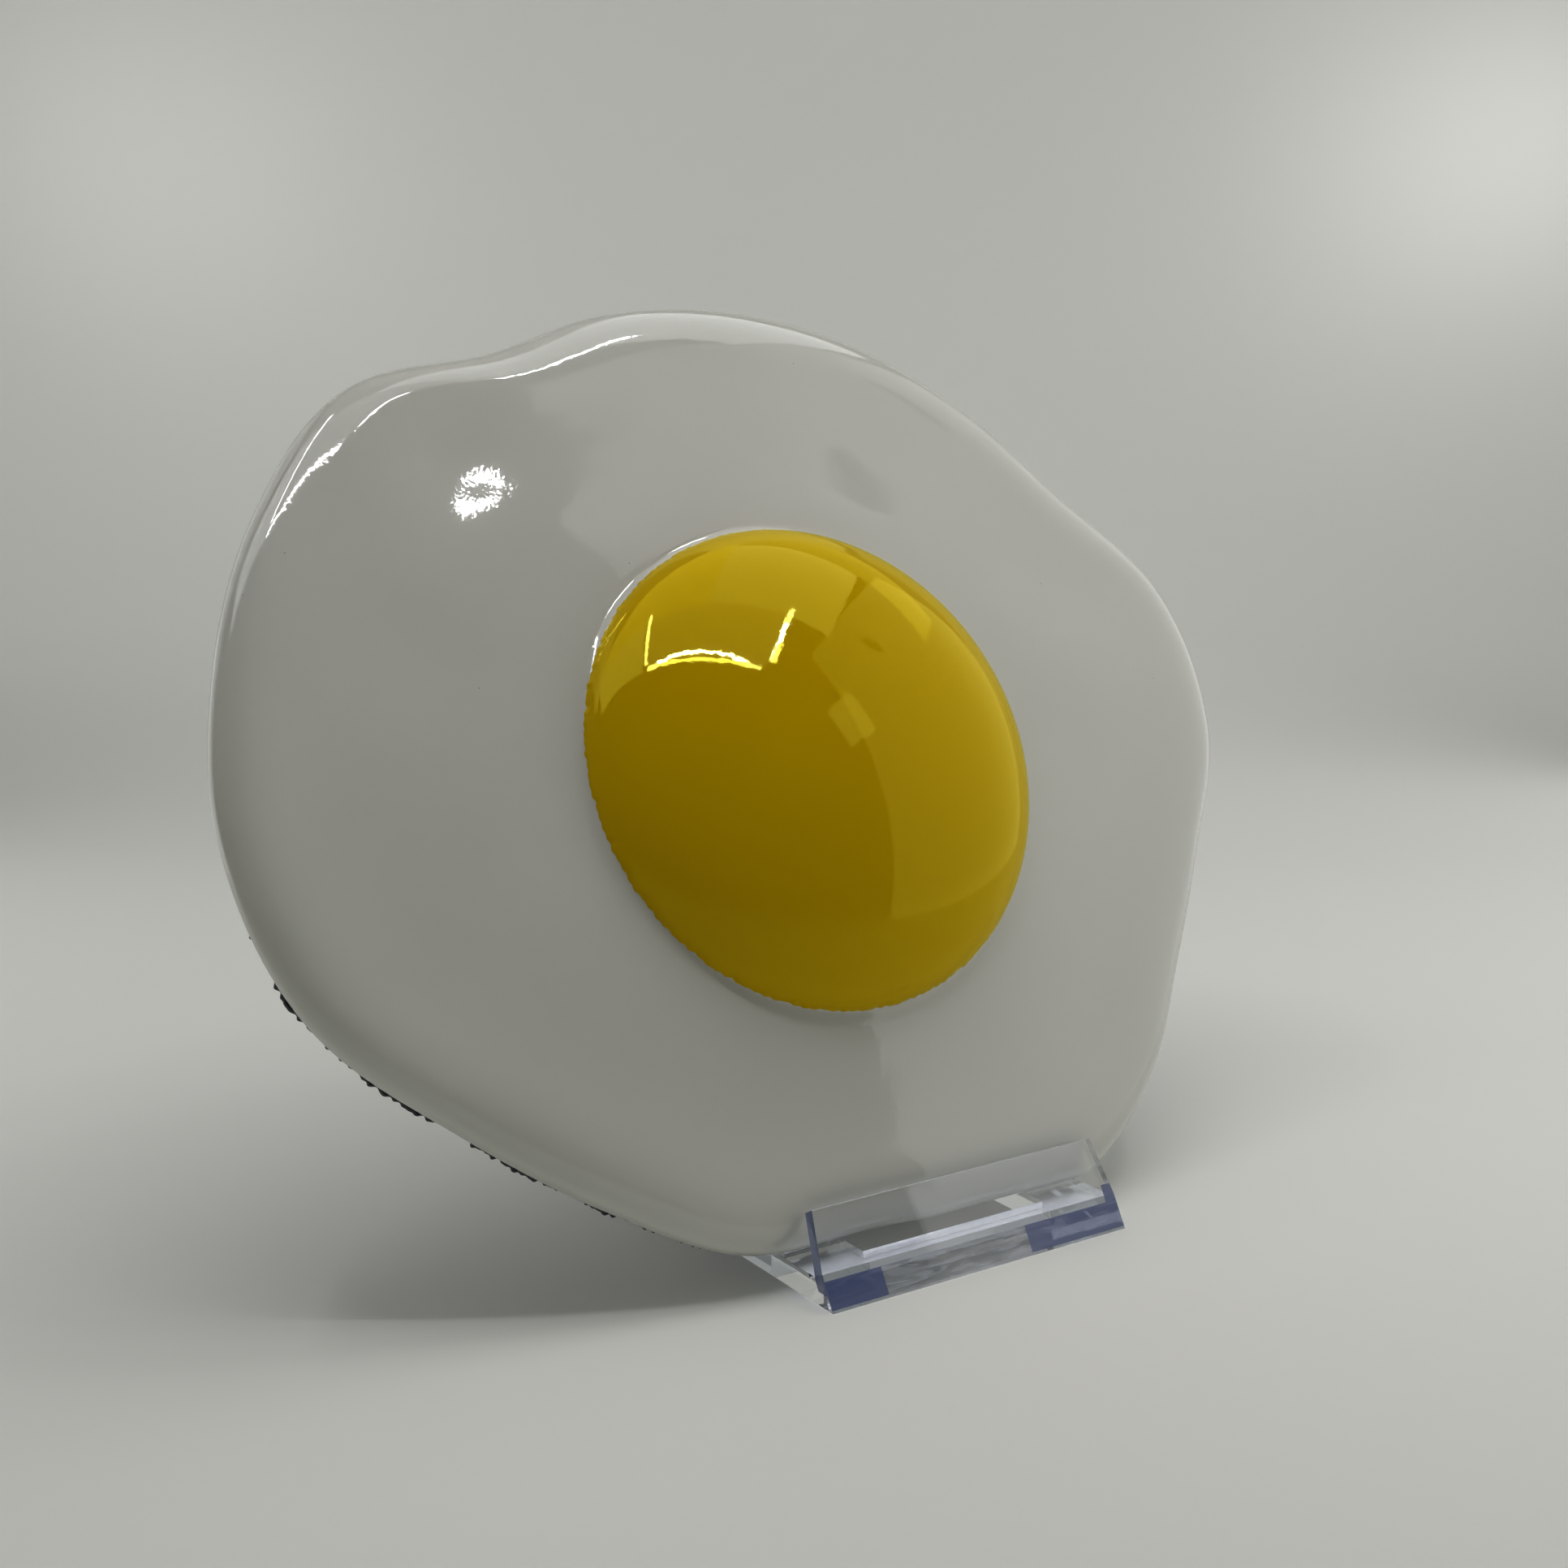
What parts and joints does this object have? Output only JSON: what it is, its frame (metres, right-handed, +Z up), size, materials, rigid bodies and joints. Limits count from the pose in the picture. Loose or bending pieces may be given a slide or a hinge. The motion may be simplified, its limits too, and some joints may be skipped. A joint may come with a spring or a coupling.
{
  "type": "plastic fried egg on a display stand",
  "caption": "Glossy moulded plastic fried egg with a domed yolk and a dark backing, leaning back in a small clear display stand.",
  "frame": {"origin": "on the floor, under the middle of the whole model's box", "axes": "+Z up, the egg's face looks towards -Y and leans back towards +Y, X runs along the stand's width"},
  "size_m": [0.1336, 0.0654, 0.1021],
  "materials": {
    "egg_white": "glossy moulded white plastic, soft dents, rounded rim",
    "yolk": "glossy egg-yellow enamel over the moulded dome",
    "backing": "dull blue-black sheet with a ragged cut edge",
    "clear_stand": "clear moulded plastic with a faint blue tint that shows in its edges"
  },
  "bodies": {
    "root": {"egg_white": "egg_white", "yolk": "yolk", "backing": "backing", "stand": "clear_stand"}
  },
  "joints": []
}
